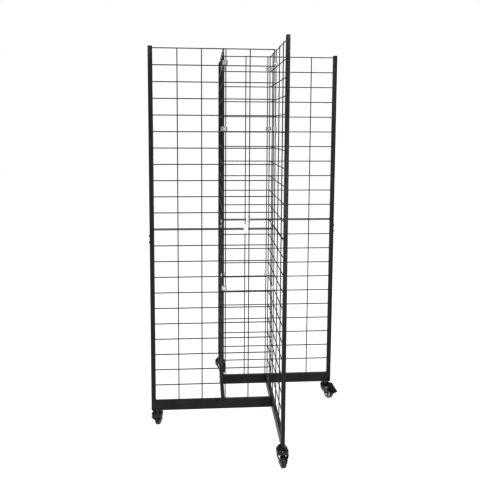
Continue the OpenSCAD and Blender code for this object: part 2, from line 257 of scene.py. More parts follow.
def thread(b, m, d, z0, z1, pitch, seg=40, tip=0.6):
    """A helical thread from z0 to z1 with a chamfered tip at z1."""
    n = max(2, int((z1 - z0) / pitch * 4))
    loops = []
    for k in range(n + 1):
        z = z0 + (z1 - z0) * k / n
        loop = []
        for i in range(seg):
            a = 2 * math.pi * i / seg
            phase = (z / pitch - a / (2 * math.pi)) % 1.0
            depth = 0.30 * pitch * (1 - abs(2 * phase - 1))
            r = d / 2 - 0.30 * pitch + depth
            r = min(r, d / 2 - max(0.0, tip - (z1 - z)))
            loop.append((r * math.cos(a), r * math.sin(a), z))
        loops.append(loop)
    b.add(*rings(loops), m)


def rect_loop(w, d, r, z, n=6):
    pts = []
    r = max(r, 0.05)
    for cx, cy, a0 in ((w / 2 - r, d / 2 - r, 0), (-w / 2 + r, d / 2 - r, 90), (-w / 2 + r, -d / 2 + r, 180), (w / 2 - r, -d / 2 + r, 270)):
        for k in range(n + 1):
            a = math.radians(a0 + 90 * k / n)
            pts.append((cx + r * math.cos(a), cy + r * math.sin(a), z))
    return pts


# ---------------------------------------------------------------- materials
def material(name, color, rough, metallic=0.0, spec=0.5, grain=None, vary=0.15, vary_scale=9.0, rough_vary=0.08, rough_scale=60.0, bump=0.2, coat=0.0, coat_rough=0.1,
             stretch=(1, 1, 1), dust=None, wear=None):
    """Every surface takes its colour, roughness and bump from noise in the object's own coordinates."""
    m = bpy.data.materials.new(name)
    m.use_nodes = True
    nt = m.node_tree
    b = nt.nodes["Principled BSDF"]
    b.inputs["Metallic"].default_value = metallic
    b.inputs["Specular IOR Level"].default_value = spec
    b.inputs["Coat Weight"].default_value = coat
    b.inputs["Coat Roughness"].default_value = coat_rough
    tc = nt.nodes.new("ShaderNodeTexCoord")
    mp = nt.nodes.new("ShaderNodeMapping")
    mp.inputs["Scale"].default_value = stretch
    nt.links.new(tc.outputs["Object"], mp.inputs["Vector"])

    def noise(scale, detail, rough_=0.55):
        n = nt.nodes.new("ShaderNodeTexNoise")
        n.inputs["Scale"].default_value = scale
        n.inputs["Detail"].default_value = detail
        n.inputs["Roughness"].default_value = rough_
        nt.links.new(mp.outputs["Vector"], n.inputs["Vector"])
        return n

    def ramp(src, stops):
        r = nt.nodes.new("ShaderNodeValToRGB")
        while len(r.color_ramp.elements) < len(stops):
            r.color_ramp.elements.new(0.5)
        for e, (p, c) in zip(r.color_ramp.elements, stops):
            e.position = p
            e.color = (*c, 1)
        nt.links.new(src, r.inputs["Fac"])
        return r

    broad = noise(vary_scale, 4)
    lo_c = tuple(max(0, c * (1 - vary)) for c in color)
    hi_c = tuple(min(1, c * (1 + vary)) for c in color)
    col = ramp(broad.outputs["Fac"], [(0.3, lo_c), (0.7, hi_c)]).outputs["Color"]
    if dust:
        amount, tone = dust
        specks = noise(vary_scale * 6, 8, 0.7)
        mask = ramp(specks.outputs["Fac"], [(0.52, (0, 0, 0)), (0.75, (amount, amount, amount))])
        mix = nt.nodes.new("ShaderNodeMix")
        mix.data_type = "RGBA"
        nt.links.new(mask.outputs["Color"], mix.inputs["Factor"])
        nt.links.new(col, mix.inputs["A"])
        mix.inputs["B"].default_value = (*tone, 1)
        col = mix.outputs["Result"]
    nt.links.new(col, b.inputs["Base Color"])
    fine = noise(rough_scale, 5)
    rr = nt.nodes.new("ShaderNodeMapRange")
    rr.inputs["From Min"].default_value = 0.3
    rr.inputs["From Max"].default_value = 0.7
    rr.inputs["To Min"].default_value = max(0.02, rough - rough_vary)
    rr.inputs["To Max"].default_value = min(1, rough + rough_vary)
    nt.links.new(fine.outputs["Fac"], rr.inputs["Value"])
    nt.links.new(rr.outputs["Result"], b.inputs["Roughness"])
    g = noise(grain or 700.0, 3)
    bp = nt.nodes.new("ShaderNodeBump")
    bp.inputs["Strength"].default_value = bump
    bp.inputs["Distance"].default_value = 0.0002
    nt.links.new(g.outputs["Fac"], bp.inputs["Height"])
    nt.links.new(bp.outputs["Normal"], b.inputs["Normal"])
    return m


M = {
    "black_powder_coat": material("m_powder_coat", (0.034, 0.033, 0.032), 0.38, spec=0.45, coat=0.18, coat_rough=0.22, grain=900, vary=0.22, vary_scale=14, rough_vary=0.07, rough_scale=90, bump=0.35),
    "black_plastic": material("m_cap_plastic", (0.022, 0.022, 0.022), 0.50, spec=0.4, grain=1500, vary=0.2, vary_scale=30, rough_vary=0.06, bump=0.2),
    "black_hardware": material("m_black_oxide", (0.028, 0.028, 0.028), 0.36, spec=0.6, grain=1800, vary=0.3, vary_scale=50, rough_vary=0.10, rough_scale=200, bump=0.15),
    "zinc_plate": material("m_zinc_plate", (0.80, 0.81, 0.84), 0.28, metallic=1.0, grain=600, vary=0.12, vary_scale=70, rough_vary=0.07, rough_scale=120, bump=0.04),
    "plain_steel": material("m_plain_steel", (0.42, 0.42, 0.43), 0.38, metallic=1.0, grain=1200, vary=0.15, vary_scale=60, rough_vary=0.10, rough_scale=150, bump=0.2, stretch=(1, 1, 0.15)),
    "caster_black": material("m_caster_enamel", (0.018, 0.018, 0.019), 0.17, spec=0.6, grain=400, vary=0.2, vary_scale=40, rough_vary=0.05, rough_scale=90, bump=0.15, coat=0.8, coat_rough=0.05),
    "hub_grey": material("m_hub_grey", (0.62, 0.62, 0.63), 0.28, spec=0.55, grain=1300, vary=0.10, vary_scale=40, rough_vary=0.07, bump=0.12),
    "tyre_black": material("m_tyre_rubber", (0.022, 0.022, 0.021), 0.20, spec=0.8, grain=900, vary=0.2, vary_scale=45, rough_vary=0.09, rough_scale=120, bump=0.22, dust=(0.30, (0.085, 0.080, 0.072))),
    "pedal_black": material("m_pedal_nylon", (0.028, 0.028, 0.028), 0.42, spec=0.45, grain=1600, vary=0.18, vary_scale=50, rough_vary=0.08, bump=0.25),
}
for sub in frame["record"]["subparts"]:
    ob = nodes.get(sub["node"])
    if ob is None:
        continue
    ob.data.materials.clear()
    ob.data.materials.append(M[sub["material_slot"]])

# ---------------------------------------------------------------- posts and caps
for i, w in enumerate(WINGS):
    for half, z0, z1 in (("upper", SEAM, POST_TOP), ("lower", RAIL_LO, SEAM)):
        b = Build()
        e = 0.7
        outer = [rect_loop(20 - 2 * e, 16 - 2 * e, 2.5 - e, z0), rect_loop(20 - 0.6 * e, 16 - 0.6 * e, 2.5 - 0.3 * e, z0 + 0.3 * e), rect_loop(20, 16, 2.5, z0 + e)]
        steps = 12
        outer += [rect_loop(20, 16, 2.5, z0 + e + (z1 - z0 - 2 * e) * k / steps) for k in range(1, steps)]
        outer += [rect_loop(20, 16, 2.5, z1 - e), rect_loop(20 - 0.6 * e, 16 - 0.6 * e, 2.5 - 0.3 * e, z1 - 0.3 * e), rect_loop(20 - 2 * e, 16 - 2 * e, 2.5 - e, z1)]
        inner = [rect_loop(17, 13, 1.0, z1), rect_loop(17, 13, 1.0, z0)]
        b.add(*rings(outer + inner, closed=True), Matrix.Translation((POST_X, PLANE, 0)))
        b.piece(f"{w}_{half}_post_tube", wing_m(i), M["black_powder_coat"], "stand", "black_powder_coat", [f"{w}_{half}_post"])

    b = Build()
    cap = [rect_loop(16.4, 12.4, 0.8, POST_TOP - 10), rect_loop(16.7, 12.7, 1.0, POST_TOP - 9.2)]
    for z in (-8.0, -5.4, -2.8):
        cap += [rect_loop(16.3, 12.3, 0.9, POST_TOP + z), rect_loop(16.95, 12.95, 1.0, POST_TOP + z + 0.5), rect_loop(16.3, 12.3, 0.9, POST_TOP + z + 1.5)]
    cap += [rect_loop(16.4, 12.4, 0.9, POST_TOP), rect_loop(19.4, 15.4, 2.2, POST_TOP), rect_loop(20.0, 16.0, 2.5, POST_TOP + 0.3), rect_loop(20.0, 16.0, 2.5, POST_TOP + 1.0),
            rect_loop(19.5, 15.5, 2.3, POST_TOP + 1.55), rect_loop(18.2, 14.2, 2.0, POST_TOP + 1.88), rect_loop(14.0, 10.0, 1.6, POST_TOP + 1.98), rect_loop(7, 4, 1.0, POST_TOP + 2.0)]
    b.add(*rings(cap), Matrix.Translation((POST_X, PLANE, 0)))
    b.piece(f"{w}_post_cap", wing_m(i), M["black_plastic"], "stand", "black_plastic", ["post_caps"])

# ---------------------------------------------------------------- welds
rng = random.Random(7)


def nugget(b, p, rx, ry, rz):
    n, mdl = 12, 7
    seed = rng.random() * 6
    loops = []
    for k in range(1, mdl):
        t = math.pi * k / mdl
        loop = []
        for i in range(n):
            a = 2 * math.pi * i / n
            wob = 1 + 0.07 * math.sin(3 * a + seed)
            loop.append((rx * math.sin(t) * math.cos(a) * wob, ry * math.cos(t), rz * math.sin(t) * math.sin(a) * wob))
        loops.append(loop)
    b.add(*rings(loops), Matrix.Translation(p))


def collar(b, p, d, r, leg):
    """A concave weld fillet round a wire of radius r, its foot on the surface at p, rising along d."""
    pts = [(r - 0.3, -0.25), (r + leg, -0.25), (r + leg, 0.08)]
    for k in range(1, 6):
        a = math.pi / 2 * k / 6
        pts.append((r + leg * (1 - math.sin(a)), leg * (1 - math.cos(a)) + 0.06))
    pts += [(r + 0.02, leg + 0.1), (r - 0.3, leg + 0.1)]
    seed = rng.random() * 6
    b.add(*lathe(pts, 20, closed=True, wobble=lambda a, k: 1 + (0.05 * math.sin(3 * a + seed) + 0.03 * math.sin(7 * a + seed * 2) if 1 <= k <= 6 else 0)), along(p, d))


def rail_bead(b):
    """The weld between the end of the rail and the post: a full fillet on the top edge and a flat bead down both faces."""
    n = 160
    base = rect_loop(16, RAIL_HI - RAIL_LO, 2.5, 0, 10)
    pts = []
    total = 0
    lens = [0]
    m = len(base)
    for k in range(m):
        a, c = Vector(base[k]), Vector(base[(k + 1) % m])
        total += (c - a).length
        lens.append(total)
    for s in range(n):
        t = total * s / n
        k = max(j for j in range(m) if lens[j] <= t)
        a, c = Vector(base[k]), Vector(base[(k + 1) % m])
        q = a + (c - a) * ((t - lens[k]) / max(1e-6, lens[k + 1] - lens[k]))
        d = (c - a).normalized()
        pts.append((q, Vector((d.y, -d.x, 0))))
    loops = []
    for s, (q, nrm) in enumerate(pts):
        top = max(0.0, min(1.0, (q.y - (RAIL_HI - RAIL_LO) / 2 + 1.5) / 1.5))
        ripple = 0.10 * math.sin(s * 2 * math.pi * 28 / n)
        up, side = 0.55 + 1.7 * top + ripple, 2.0 + 0.6 * top
        loop = []
        for k in range(10):
            a = 2 * math.pi * k / 10
            x, h = side * math.cos(a), up * math.sin(a)
            if h < 0:
                h *= 0.5 / max(up, 0.5)
            loop.append((POST_FACE + x + 0.4 * top, PLANE + q.x + nrm.x * h, RAIL_LO + (RAIL_HI - RAIL_LO) / 2 + q.y + nrm.y * h))
        loops.append(loop)
    b.add(*rings(loops, closed=True))


for i, w in enumerate(WINGS):
    for half, zs in (("upper", UPPER_Z), ("lower", LOWER_Z)):
        b = Build()
        for z in zs:
            for x in UPRIGHTS:
                s = 0.92 + 0.16 * rng.random()
                nugget(b, (x, (PLANE + CROSS_Y) / 2, z), 2.5 * s, 1.25, 2.5 * s)
            collar(b, (POST_FACE, CROSS_Y, z), (1, 0, 0), 2.0, 1.5)
        if half == "lower":
            for x in UPRIGHTS:
                collar(b, (x, PLANE, RAIL_HI), (0, 0, 1), 2.0, 1.6)
            rail_bead(b)
        b.piece(f"{w}_{half}_welds", wing_m(i), M["black_powder_coat"], "stand", "black_powder_coat", sharp=60)

# ---------------------------------------------------------------- screws and bolts
b = Build()
for i in range(4):
    R = Matrix.Rotation(math.radians(90 * i), 4, "Z")
    for k, z in enumerate(SPLICE_Z):
        m = R @ along((OUTER, PLANE, z), (-1, 0, 0)) @ Matrix.Rotation(rng.random() * 6, 4, "Z")
        button_head(b, m, 11, 3.4, 4, 2.2)
        b.add(*lathe([(2.9, 0.1), (2.9, -7.4), (2.3, -8)], 40), m)
b.piece("splice_bolt_set", wing_m(0), M["black_hardware"], "stand", "black_hardware", ["splice_bolts"], sharp=32)

b = Build()
for i in range(4):
    R = Matrix.Rotation(math.radians(90 * i), 4, "Z")
    for s in (-1, 1):
        m = R @ along((INNER_END + 16, PLANE, (RAIL_LO + RAIL_HI) / 2 + s * 12), (1, 0, 0)) @ Matrix.Rotation(rng.random() * 6, 4, "Z")
        button_head(b, m, 9.5, 2.6, 3, 1.6)
        b.add(*lathe([(2.5, 0.1), (2.5, -25), (1.9, -26)], 40), m)
b.piece("rail_screw_set", wing_m(0), M["black_hardware"], "stand", "black_hardware", ["rail_screws"], sharp=32)


# ---------------------------------------------------------------- clips
def plate(w, h, profile, corner, t=1.6, nx=None):
    """A stamped plate: profile gives (x, y, nx, ny) along its width, the height follows rounded corners, and t is its thickness."""
    outer, inner = [], []
    nz = 8
    for x, y, ex, ey in profile:
        edge = abs(x) - (w / 2 - corner)
        top = h / 2 if edge <= 0 else h / 2 - corner + math.sqrt(max(0.0, corner * corner - edge * edge))
        o, n = [], []
        for k in range(nz + 1):
            z = -top + 2 * top * k / nz
            o.append((x + ex * t, y + ey * t, z))
            n.append((x, y, z))
        outer.append(o)
        inner.append(n)
    m, c = len(outer), nz + 1
    verts = [p for col in outer for p in col] + [p for col in inner for p in col]
    faces = []
    base = m * c
    for a in range(m - 1):
        for k in range(nz):
            p, q = a * c + k, (a + 1) * c + k
            faces.append((p, p + 1, q + 1, q))
            faces.append((base + p, base + q, base + q + 1, base + p + 1))
        for k in (0, nz):
            p, q = a * c + k, (a + 1) * c + k
            faces.append((p, q, base + q, base + p) if k == 0 else (p, base + p, base + q, q))
    for a in (0, m - 1):
        for k in range(nz):
            p = a * c + k
            faces.append((p, base + p, base + p + 1, p + 1) if a == 0 else (p, p + 1, base + p + 1, base + p))
    return verts, faces


def grooved(w, centres, gap, r):
    """The inner face of a plate that lies at y = -gap, with half-round grooves of radius r for wires on y = 0."""
    pts = []
    a0 = math.asin(gap / r)
    half = r * math.cos(a0)
    x = -w / 2
    marks = []
    for c in centres:
        marks.append((c - half, c + half, c))

    def flat(x0, x1, n):
        for k in range(n + 1):
            pts.append((x0 + (x1 - x0) * k / n, -gap, 0, -1))

    for m0, m1, c in marks:
        flat(x, m0 - 0.25, 5)
        for k in range(0, 13):
            a = math.pi + a0 + (math.pi - 2 * a0) * k / 12
            pts.append((c + r * math.cos(a), r * math.sin(a), math.cos(a) * (0.75 if k in (0, 12) else 1), math.sin(a)))
        x = m1 + 0.25
    flat(x, w / 2, 5)
    return pts


WIRE_GAP = math.sqrt(2) * 10.0
JUNCTION = grooved(30, (-WIRE_GAP / 2, WIRE_GAP / 2), 1.2, 2.05)
SEAMP = grooved(40, (-2.5, 2.5), 1.2, 2.05)


def seam_profile():
    """The seam plate's groove runs over both wires at once, like a shallow channel."""
    pts = []
    r, gap, off = 2.05, 1.2, 2.5
    a0 = math.asin(gap / r)
    half = r * math.cos(a0)

    def flat(x0, x1, n):
        for k in range(n + 1):
            pts.append((x0 + (x1 - x0) * k / n, -gap, 0, -1))

    flat(-20, -off - half - 0.25, 6)
    for k in range(0, 8):
        a = math.pi + a0 + (math.pi / 2 - a0) * k / 7
        pts.append((-off + r * math.cos(a), r * math.sin(a), math.cos(a) * (0.75 if k == 0 else 1), math.sin(a)))
    for k in range(1, 8):
        a = 1.5 * math.pi + (math.pi / 2 - a0) * k / 7
        pts.append((off + r * math.cos(a), r * math.sin(a), math.cos(a) * (0.75 if k == 7 else 1), math.sin(a)))
    flat(off + half + 0.25, 20, 6)
    return pts


mirror_y = Matrix.Diagonal((1, -1, 1, 1))
front, back, bolts, nuts = Build(), Build(), Build(), Build()
mid = (112.5 + 122.5) / 2
SEAM_X = 112.5 - 112.5 - 16


def clip_fixings(m, turn):
    """A domed bolt head on the -Y side, its shank through both plates, and the nut with the bolt's end on the +Y side."""
    seat = 2.8
    h = m @ along((0, -seat, 0), (0, -1, 0)) @ Matrix.Rotation(turn, 4, "Z")
    dome = [circle(2.2, 0), circle(4.35, 0), circle(4.5, 0.2), circle(4.5, 0.5)]
    dome += [circle(4.5 * math.cos(a) ** 0.8, 0.5 + 2.3 * math.sin(a)) for a in [math.pi / 2 * k / 9 for k in range(1, 9)]]
    dome += [circle(0.4, 2.8)]
    bolts.add(*rings(dome), h)
    thread(bolts, m @ along((0, -seat, 0), (0, 1, 0)), 4.8, -0.1, 11.1, 0.8)
    n = m @ along((0, seat, 0), (0, 1, 0)) @ Matrix.Rotation(turn * 1.7, 4, "Z")
    loops = chamfered_hex(8, 4)
    inner = [circle(3.0, 4), circle(2.5, 3.4), circle(2.5, 0.6), circle(3.0, 0)]
    nuts.add(*rings(loops + inner, closed=True), n)


for i in range(4):
    R = Matrix.Rotation(math.radians(90 * i), 4, "Z")
    for z in CLIP_Z:
        m = R @ Matrix.Translation((mid, -mid, z)) @ Matrix.Rotation(math.radians(45), 4, "Z")
        front.add(*plate(30, 22, JUNCTION, 3.0), m)
        back.add(*plate(30, 22, JUNCTION, 3.0), m @ mirror_y)
        clip_fixings(m, rng.random() * 6)
    m = R @ Matrix.Translation((SEAM_X, CROSS_Y, SEAM)) @ Matrix.Rotation(math.radians(90), 4, "Y")
    front.add(*plate(40, 20, seam_profile(), 3.0), m)
    back.add(*plate(40, 20, seam_profile(), 3.0), m @ mirror_y)
    for s in (-1, 1):
        clip_fixings(R @ Matrix.Translation((SEAM_X, CROSS_Y, SEAM + s * 12.5)), rng.random() * 6)
front.piece("clip_front_plate_set", wing_m(0), M["zinc_plate"], "stand", "zinc_plate", ["clip_front_plates"], bevel=0.22, sharp=45)
back.piece("clip_back_plate_set", wing_m(0), M["zinc_plate"], "stand", "zinc_plate", ["clip_back_plates"], bevel=0.22, sharp=45)
bolts.piece("clip_bolt_set", wing_m(0), M["zinc_plate"], "stand", "zinc_plate", ["clip_bolts"], sharp=40)
nuts.piece("clip_nut_set", wing_m(0), M["zinc_plate"], "stand", "zinc_plate", ["clip_nuts"], sharp=26)

# ---------------------------------------------------------------- casters


def rounded_path(pts, radii, n=7):
    """An open polyline with its corners rounded."""
    out = [Vector(pts[0])]
    for k in range(1, len(pts) - 1):
        a, p, c = Vector(pts[k - 1]), Vector(pts[k]), Vector(pts[k + 1])
        u, v = (a - p).normalized(), (c - p).normalized()
        ang = u.angle(v)
        cut = min(radii[k] / math.tan(ang / 2), (a - p).length * 0.48, (c - p).length * 0.48)
        r = cut * math.tan(ang / 2)
        s, e = p + u * cut, p + v * cut
        centre = p + (u + v).normalized() * (r / math.sin(ang / 2))
        for j in range(n + 1):
            t = j / n
            q = (s - centre).lerp(e - centre, t)
            out.append(centre + q.normalized() * r)
    out.append(Vector(pts[-1]))
    return out


def resample(path, step):
    out = [path[0]]
    for a, c in zip(path, path[1:]):
        n = max(1, int(math.ceil((c - a).length / step)))
        out += [a.lerp(c, k / n) for k in range(1, n + 1)]
    return out


def interp(z, table):
    for (z0, x0), (z1, x1) in zip(table, table[1:]):
        if z0 <= z <= z1:
            return x0 + (x1 - x0) * (z - z0) / (z1 - z0)
    return table[0][1] if z < table[0][0] else table[-1][1]


def smooth(t):
    t = max(0.0, min(1.0, t))
    return t * t * (3 - 2 * t)


def catmull(pts, n):
    out = []
    for k in range(len(pts) - 1):
        p0, p1, p2, p3 = (Vector(pts[max(0, k - 1)]), Vector(pts[k]), Vector(pts[k + 1]), Vector(pts[min(len(pts) - 1, k + 2)]))
        for j in range(n):
            t = j / n
            out.append(0.5 * ((2 * p1) + (p2 - p0) * t + (2 * p0 - 5 * p1 + 4 * p2 - p3) * t * t + (3 * p1 - p0 - 3 * p2 + p3) * t ** 3))
    out.append(Vector(pts[-1]))
    return out


def fork_mesh(brake):
    """Crown and legs: one folded sheet."""
    t = 2.6
    path = rounded_path([(-16.6, 15.2), (-16.6, 34), (-26, 52), (-26, 69), (-19, 76), (19, 76), (26, 69), (26, 52), (16.6, 34), (16.6, 15.2)], [0, 12, 12, 7, 7, 7, 7, 12, 12, 0])
    path = resample(path, 1.6)
    rear = [(15, 24), (17, 18), (19.7, 15.2), (34, 2), (44, -6), (50, -10), (53.5, -13.5), (58, -17), (69, -26.4), (76, -20)]
    fore = [(15, 24), (17, 30), (20, 32.7), (25, 34), (27.8, 33.6)] + ([(50, 37), (66, 37.6), (73, 33), (76, 28)] if brake else [(48, 31.5), (66, 30.2), (73, 26), (76, 23)])
    plan = [(0, 38), (13, 37.6), (22, 35.6), (26.4, 31)] if brake else [(0, 33.6), (16.6, 33.6), (19, 28), (21, 26), (24, 22), (26.4, 12)]
    high = [(0, 30.2), (8, 30.2), (17, 27.8), (24, 21.8), (26.4, 12)]
    nv = 30
    outer, inner = [], []
    for k, p in enumerate(path):
        a, c = path[max(0, k - 1)], path[min(len(path) - 1, k + 1)]
        d = (c - a).normalized()
        n = Vector((-d.y, d.x))  # outward
        y, z = p.x, p.y
        sin_t = min(1.0, max(0.0, (z - 67.0) / 8.9))
        drop = 8.6 * (1 - math.sqrt(1 - sin_t * sin_t))  # how far the hood's shoulder has come in at this height
        x0 = max(interp(z, rear), -math.sqrt(max(0.0, (26.2 - min(drop, 6.0)) ** 2 - min(abs(y), 19.5 - min(drop, 6.0) + 6.0) ** 2))) if z < 75.9 else -math.sqrt(max(0.0, 20.4 ** 2 - y * y))
        x1 = min(interp(z, fore), interp(abs(y) + min(drop, 6.0), high if z > 62 and not brake else plan) - (4.5 if z >= 75.9 and not brake else 0.0))
        if brake and abs(y) < 15.6 and z > 60:
            x1 = 20
        if z < 25:
            x0 = max(x0, 24 - math.sqrt(max(0.0, 100 - (z - 25) ** 2)))
            x1 = min(x1, 24 + math.sqrt(max(0.0, 100 - (z - 25) ** 2)))
        o, m = [], []
        for j in range(nv + 1):
            v = j / nv
            v = 0.5 - 0.5 * math.cos(math.pi * v) if z < 70 else v
            x = x0 + (x1 - x0) * v
            off = 0.0
            r = math.hypot(x, y)
            if z > 72:  # the pressed ball track on the crown; the edges dip under the skirt
                off += 0.55 * (1 - smooth((r - 17.0) / 2.0))
                off -= 1.0 * smooth((x - 19 - (6 if brake else 0)) / 4) + 0.9 * smooth((-17.5 - x) / 3)
            else:
                lip = min(x - x0, x1 - x)
                wide = x1 - x0
                off += 1.0 * (1 - smooth(lip / 3.0)) * smooth((wide - 17) / 8) * smooth((z - 26) / 10) * smooth((58 - z) / 6)
                off -= 0.9 * smooth((lip - 4.5) / 3) * smooth((wide - 20) / 8) * smooth((60 - z) / 6) * smooth((z - 36) / 5)
            q = Vector((y, z)) + n * off
            i2 = Vector((y, z)) + n * (off - t)
            o.append((x, q.x, q.y))
            m.append((x, i2.x, i2.y))
        outer.append(o)
        inner.append(m)
    mm, c = len(outer), nv + 1
    verts = [p for row in outer for p in row] + [p for row in inner for p in row]
    base = mm * c
    faces = []
    for a in range(mm - 1):
        for k in range(nv):
            p, q = a * c + k, (a + 1) * c + k
            faces.append((p, p + 1, q + 1, q))
            faces.append((base + p, base + q, base + q + 1, base + p + 1))
        for k in (0, nv):
            p, q = a * c + k, (a + 1) * c + k
            faces.append((p, q, base + q, base + p) if k == 0 else (p, base + p, base + q, q))
    for a in (0, mm - 1):
        for k in range(nv):
            p = a * c + k
            faces.append((p, base + p, base + p + 1, p + 1) if a == 0 else (p, p + 1, base + p + 1, base + p))
    return verts, faces


def skirt(b, pts, low, fade=(1.0, 1.0)):
    """A wall of the hood along a plan line (walked with the outside on its right), rounded in over the crown."""
    path = resample([Vector(p) for p in pts], 1.3)
    n = len(path)
    loops = []
    for k, p in enumerate(path):
        a, c = path[max(0, k - 2)], path[min(n - 1, k + 2)]
        d = (c - a).normalized()
        out = Vector((d.y, -d.x))
        s = 0.75 * (fade[0] * (1 - smooth(k / 5.0)) + fade[1] * (1 - smooth((n - 1 - k) / 5.0)))
        zl = low(p.x, p.y)
        prof = [(0.9, zl), (0.35, zl + 0.12), (0.05, zl + 0.5), (0.0, zl + 1.2), (0.0, 62.0), (0.0, 66.6)]
        prof += [(8.6 * (1 - math.cos(t)), 67.4 + 8.7 * math.sin(t)) for t in [math.radians(x) for x in range(8, 91, 8)]] + [(9.4, 76.12), (9.9, 75.7), (9.9, 74.0)]
        prof += [(8.8 - 6.2 * math.sin(t), 67.4 + 6.0 * math.cos(t)) for t in [math.radians(x) for x in range(0, 91, 15)]] + [(2.6, 62.0), (2.6, zl + 1.2), (2.3, zl + 0.2), (1.7, zl)]
        loops.append([(p.x - out.x * (i + s), p.y - out.y * (i + s), z - s * 0.4) for i, z in prof])
    b.add(*rings(loops))


def hood(b, brake):
    rear = [(26.3 * math.cos(a), 26.3 * math.sin(a)) for a in [math.radians(x) for x in range(94, 267, 4)]]
    skirt(b, rear, lambda x, y: 57 - 3.0 * smooth((abs(y) - 14) / 10))
    if brake:
        side = catmull([(13, 26.2), (22, 26.3), (29, 26.3), (33.6, 25.0), (36.4, 21.8), (37.6, 18.0), (37.9, 15.7)], 8)
        skirt(b, [(x, y) for x, y in reversed(side)], lambda x, y: 57, (0.0, 1.0))
        skirt(b, [(x, -y) for x, y in side], lambda x, y: 57, (1.0, 0.0))
    else:
        half = [(10, 26.2), (16, 25.8), (21.6, 23.6), (26.2, 19.0), (29.0, 13.0), (30.2, 6.5), (30.5, 0)]
        line = catmull([(x, -y) for x, y in half] + [(x, y) for x, y in reversed(half[:-1])], 6)
        skirt(b, line, lambda x, y: 57 - 1.5 * smooth((abs(y) - 12) / 10))


HUB_R = 18.5
for i, w in enumerate(WINGS):
    cm = caster_m(w)
    brake = w == "right"
    b = Build()
    b.add(*fork_mesh(brake))
    hood(b, brake)
    b.piece(f"{w}_caster_fork_stamping", cm, M["caster_black"], f"{w}_caster", "caster_black", [f"{w}_caster_fork"], bevel=0.55, sharp=50, merge=0.02)

    # axle: hexagon bolt, lock nut with its collar, and the thread past it
    b = Build()
    m = along((24, -16.6, 25), (0, -1, 0)) @ Matrix.Rotation(0.3, 4, "Z")
    b.add(*rings(chamfered_hex(10, 4, washer=0.5)), m)
    m = along((24, -16.8, 25), (0, 1, 0))
    b.add(*lathe([(2.6, 0), (3.0, 0.2), (3.0, 33.6), (2.6, 33.8)], 40), m)
    thread(b, m, 6, 33.2, 39.2, 1.0)
    m = along((24, 16.6, 25), (0, 1, 0)) @ Matrix.Rotation(0.5, 4, "Z")
    loops = [circle(4.9, 0), circle(4.9, 0.4)] + [hex_loop(10, 0.4)] + [hex_loop(10, 3.0)] + [hex_loop(10, 3.4, 5.3)]
    loops += [circle(4.55, 3.7), circle(4.45, 4.6), circle(4.0, 5.0), circle(3.1, 5.0), circle(3.05, 4.4), circle(3.05, 0.2)]
    b.add(*rings(loops, closed=True), m)
    b.piece(f"{w}_caster_axle_bolt", cm, M["zinc_plate"], f"{w}_caster", "zinc_plate", [f"{w}_caster_axle"], sharp=30)

    # hub: rim, dished web with ribs, bearing boss
    b = Build()
    wm = along((24, 0, 25), (0, -1, 0))
    half = [(3.06, 13.4), (3.5, 13.6), (6.0, 13.6), (6.5, 13.1), (7.0, 10.4), (7.6, 9.0), (9.2, 8.3), (13.2, 7.0), (HUB_R - 3.6, 6.7), (HUB_R - 2.9, 7.2), (HUB_R - 2.3, 9.0), (HUB_R - 1.9, 9.5), (HUB_R - 0.3, 9.5), (HUB_R, 9.2)]
    prof = [(r, z) for r, z in half] + [(r, -z) for r, z in reversed(half)]
    b.add(*lathe(prof, 96, closed=True), wm)
    for k in range(6):
        a = math.radians(60 * k + 15)
        for s in (-1, 1):
            rib = [(6.8, 8.0), (6.8, 10.6), (8.2, 10.0), (HUB_R - 3.4, 8.0), (HUB_R - 2.2, 8.6), (HUB_R - 2.2, 6.0)]
            va = [(r, -0.8, z * s) for r, z in rib] + [(r, 0.8, z * s) for r, z in rib]
            nn = len(rib)
            fa = [tuple(range(nn)), tuple(reversed(range(nn, 2 * nn)))] + [(k2, k2 + nn, (k2 + 1) % nn + nn, (k2 + 1) % nn) for k2 in range(nn)]
            b.add(va, fa, wm @ Matrix.Rotation(a, 4, "Z"))
    b.piece(f"{w}_wheel_hub_moulding", cm, M["hub_grey"], f"{w}_wheel", "hub_grey", [f"{w}_wheel_hub"], sharp=36)

    # tyre: rounded tread with a parting line and a groove by each shoulder
    b = Build()
    half = [(HUB_R + 0.02, 10.2), (HUB_R + 0.5, 10.8), (20.6, 11.0), (21.3, 10.9), (22.0, 10.6), (22.6, 10.15), (23.05, 9.6), (23.3, 9.1), (23.15, 8.85), (23.5, 8.6), (23.85, 7.9)]
    half += [(24.15, 7.0), (24.42, 5.9), (24.66, 4.7), (24.83, 3.5), (24.94, 2.3), (24.99, 1.2), (24.98, 0.5), (25.0, 0.25)]
    prof = [(r, z) for r, z in half] + [(r, -z) for r, z in reversed(half)]
    b.add(*lathe(prof, 128, closed=True), wm)
    b.piece(f"{w}_wheel_tyre_tread", cm, M["tyre_black"], f"{w}_wheel", "tyre_black", [f"{w}_wheel_tyre"], sharp=40)

# upper swivel cups and the stem nuts stay with the stand
b = Build()
n2 = Build()
for i, w in enumerate(WINGS):
    p = joint[f"{w}_caster_swivel"]["pos_m"]
    m = Matrix.Translation((p[0] * 1000, p[1] * 1000, 0))
    cup = [(4.1, 79.6), (16.6, 79.6), (17.3, 79.2), (18.1, 77.5), (18.5, 77.2), (19.5, 77.2), (19.9, 77.5), (19.9, 78.1), (19.3, 79.7), (18.6, 80.6), (17.4, 81.0), (9.5, 81.0), (9.0, 80.85), (4.1, 80.85)]
    b.add(*lathe(cup, 96, closed=True), m)
    loops = chamfered_hex(13, 5, 60)
    n2.add(*rings(loops + [circle(4.1, 5, 60), circle(4.1, 0, 60)], closed=True), m @ Matrix.Translation((0, 0, 80.95)))
ident = Matrix.Diagonal((0.001, 0.001, 0.001, 1))
b.piece("caster_race_set", ident, M["caster_black"], "stand", "caster_black", ["caster_races"], sharp=40)
